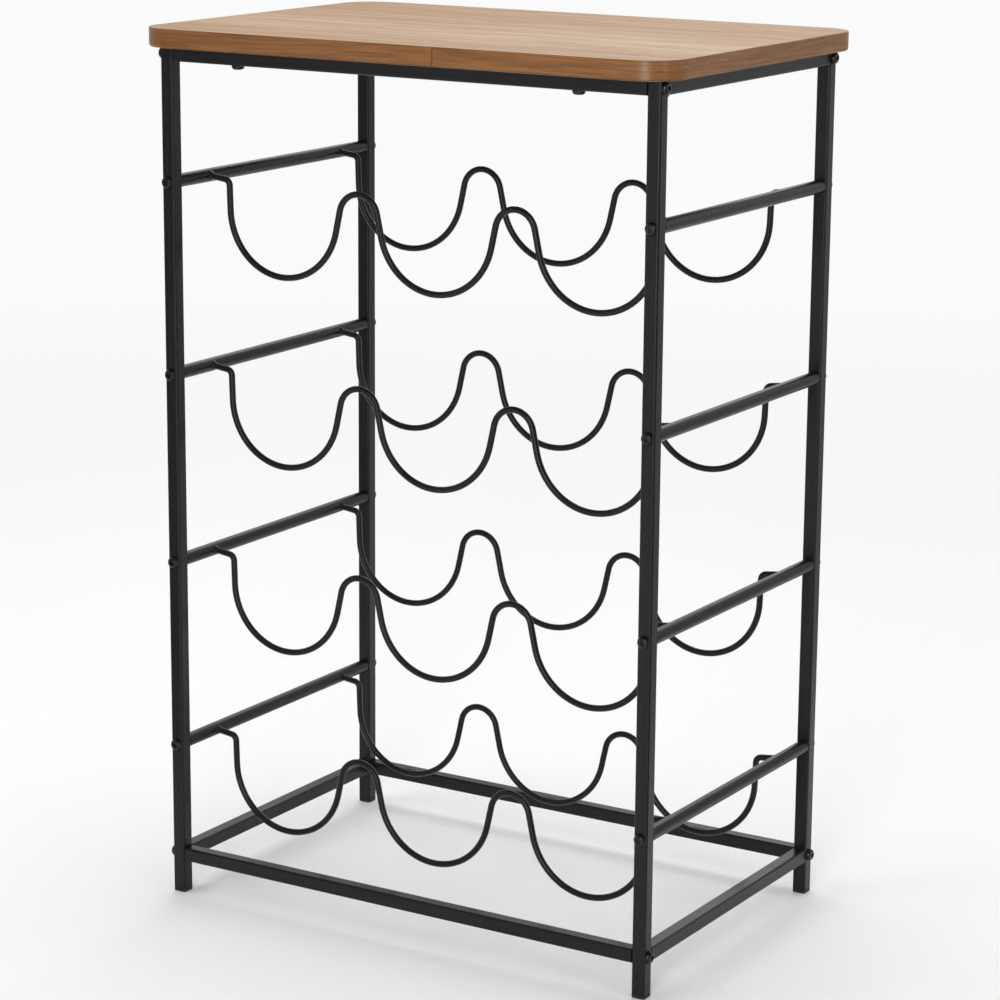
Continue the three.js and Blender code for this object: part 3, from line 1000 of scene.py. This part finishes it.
def right_card_strength(tree, place):
    """A little darker at the height of the middle tiers than towards the top and the floor."""
    height = add_node(tree, "ShaderNodeSeparateXYZ", vector=place).outputs["Z"]
    return ramp(tree, ranged(tree, height, (0, RIGHT_CARD_HEIGHT), (0, 1)), RIGHT_CARD_GREYS)


def backdrop_cover(tree, place):
    """From 0 near the rack to 1 far from it."""
    distance = add_node(tree, "ShaderNodeVectorMath", {"operation": "LENGTH"}, vector=place)
    return ranged(tree, distance.outputs["Value"], (BACKDROP_START, BACKDROP_FULL), (0, 1), "SMOOTHSTEP")


def make_backdrop():
    """A pale bowl that only the camera sees. It hides the far floor little by little, so that there is
    no horizon."""
    material = make_glow("backdrop", even(BACKDROP_WHITE), backdrop_cover)
    profile = [
        (BACKDROP_START, BACKDROP_LIFT), (BACKDROP_RADIUS, BACKDROP_LIFT),
        (BACKDROP_RADIUS, BACKDROP_HEIGHT),
    ]
    vertices, faces = skin([lifted(circle(radius, STUDIO_FACETS), z) for radius, z in profile])
    quads = [face for face in faces if len(face) == 4]
    seen_only_by(staged_mesh("backdrop", (vertices, quads), material), camera=True)


def make_card(name, start, end, low, high, strength_of):
    """An upright grey card between two places on the floor that shows only in reflections."""
    corners = [Vector((*start, low)), Vector((*end, low)), Vector((*end, high)), Vector((*start, high))]
    card = staged_mesh(name, (corners, [(0, 1, 2, 3)]), make_glow(name, strength_of))
    seen_only_by(card, reflections=True)


def make_surroundings():
    """Even white light all round, dimmer in front of the rack and overhead."""
    world = bpy.data.worlds.new("studio")
    bpy.context.scene.world = world
    world.use_nodes = True
    tree = world.node_tree
    background = tree.nodes["Background"]
    direction = add_node(tree, "ShaderNodeTexCoord").outputs["Generated"]
    split = add_node(tree, "ShaderNodeSeparateXYZ", vector=direction)
    strength = ranged(tree, split.outputs["Y"], SURROUNDINGS_FADE, SURROUNDINGS_GREYS)
    overhead = ranged(tree, split.outputs["Z"], OVERHEAD_FADE, (1, OVERHEAD_SHARE))
    tree.links.new(maths(tree, "MULTIPLY", strength, overhead), background.inputs["Strength"])
    background.inputs["Color"].default_value = (1, 1, 1, 1)


def softbox(name, place, aim, width, height, radiance, reflected=True):
    """A rectangular lamp of even brightness that faces a point."""
    data = bpy.data.lights.new(name, "AREA")
    data.shape = "RECTANGLE"
    data.size, data.size_y = width, height
    data.energy = radiance * math.pi * width * height
    lamp = bpy.data.objects.new(name, data)
    lamp.location = place
    lamp.rotation_euler = (Vector(aim) - Vector(place)).to_track_quat("-Z", "Y").to_euler()
    lamp.visible_camera = False
    lamp.visible_glossy = reflected
    bpy.context.scene.collection.objects.link(lamp)


def make_strip(name, azimuth, width, radiance):
    """A tall narrow lamp in front of the rack, at an angle in degrees from +X."""
    angle = math.radians(azimuth)
    place = Vector((STRIP_DISTANCE * math.cos(angle), STRIP_DISTANCE * math.sin(angle), STRIP_CENTRE))
    softbox(name, place, LAMP_AIM, width, STRIP_LENGTH, radiance)


make_floor()
make_backdrop()
make_surroundings()
make_strip("strip left of the camera", azimuth=-69.5, width=0.7, radiance=8)
make_strip("strip right of the camera", azimuth=-16, width=0.4, radiance=3)
softbox("overhead", (-0.3, 0.6, 2.6), LAMP_AIM, width=2.2, height=2.2, radiance=2.1, reflected=False)
softbox("key", (-1.9, -1.7, 2.2), LAMP_AIM, width=1.4, height=1.4, radiance=3, reflected=False)
softbox("back wash", (-2, 5, 3.5), aim=(-2.5, 4.5, 0), width=5, height=3, radiance=1.5)
make_card("right card", (CARD_X, -0.02), (CARD_X, 0.7), 0, RIGHT_CARD_HEIGHT, right_card_strength)
make_card("front card", (-1.1, -0.33), (-0.28, -0.33), 0, 0.6, even(0.4))
make_card("far front card", (-0.62, -0.8), (0.3, -0.8), 0.36, 0.75, even(0.8))
make_card("right gap card", (CARD_X, -0.16), (CARD_X, -0.03), 0, 0.6, even(0.05))
make_card("back card", (-1, 1.2), (-0.6, 1.2), 0.48, 0.73, even(0.1))


# ---- Camera ----

CAMERA_PLACE = (1.16036, -1.8935, 0.81925)
CAMERA_AZIMUTH = math.radians(31.4234)
CAMERA_ELEVATION = math.radians(13.3608)
CAMERA_ROLL = math.radians(0.4515)
CAMERA_LENS = 116.25  # in millimetres, as the sensor is
CAMERA_SENSOR = 36
CAMERA_FAR = 60


def make_camera():
    """A camera of a long focal length, in front of the rack and to its right, that looks slightly down."""
    data = bpy.data.cameras.new("camera")
    data.lens = CAMERA_LENS
    data.sensor_width = CAMERA_SENSOR
    data.clip_end = CAMERA_FAR
    camera = bpy.data.objects.new("camera", data)
    turn = (
        Matrix.Rotation(CAMERA_AZIMUTH, 4, "Z")
        @ Matrix.Rotation(math.pi / 2 - CAMERA_ELEVATION, 4, "X")
        @ Matrix.Rotation(CAMERA_ROLL, 4, "Z")
    )
    camera.matrix_world = Matrix.Translation(CAMERA_PLACE) @ turn
    bpy.context.scene.collection.objects.link(camera)
    bpy.context.scene.camera = camera


make_camera()
bpy.context.scene.view_settings.view_transform = "Standard"
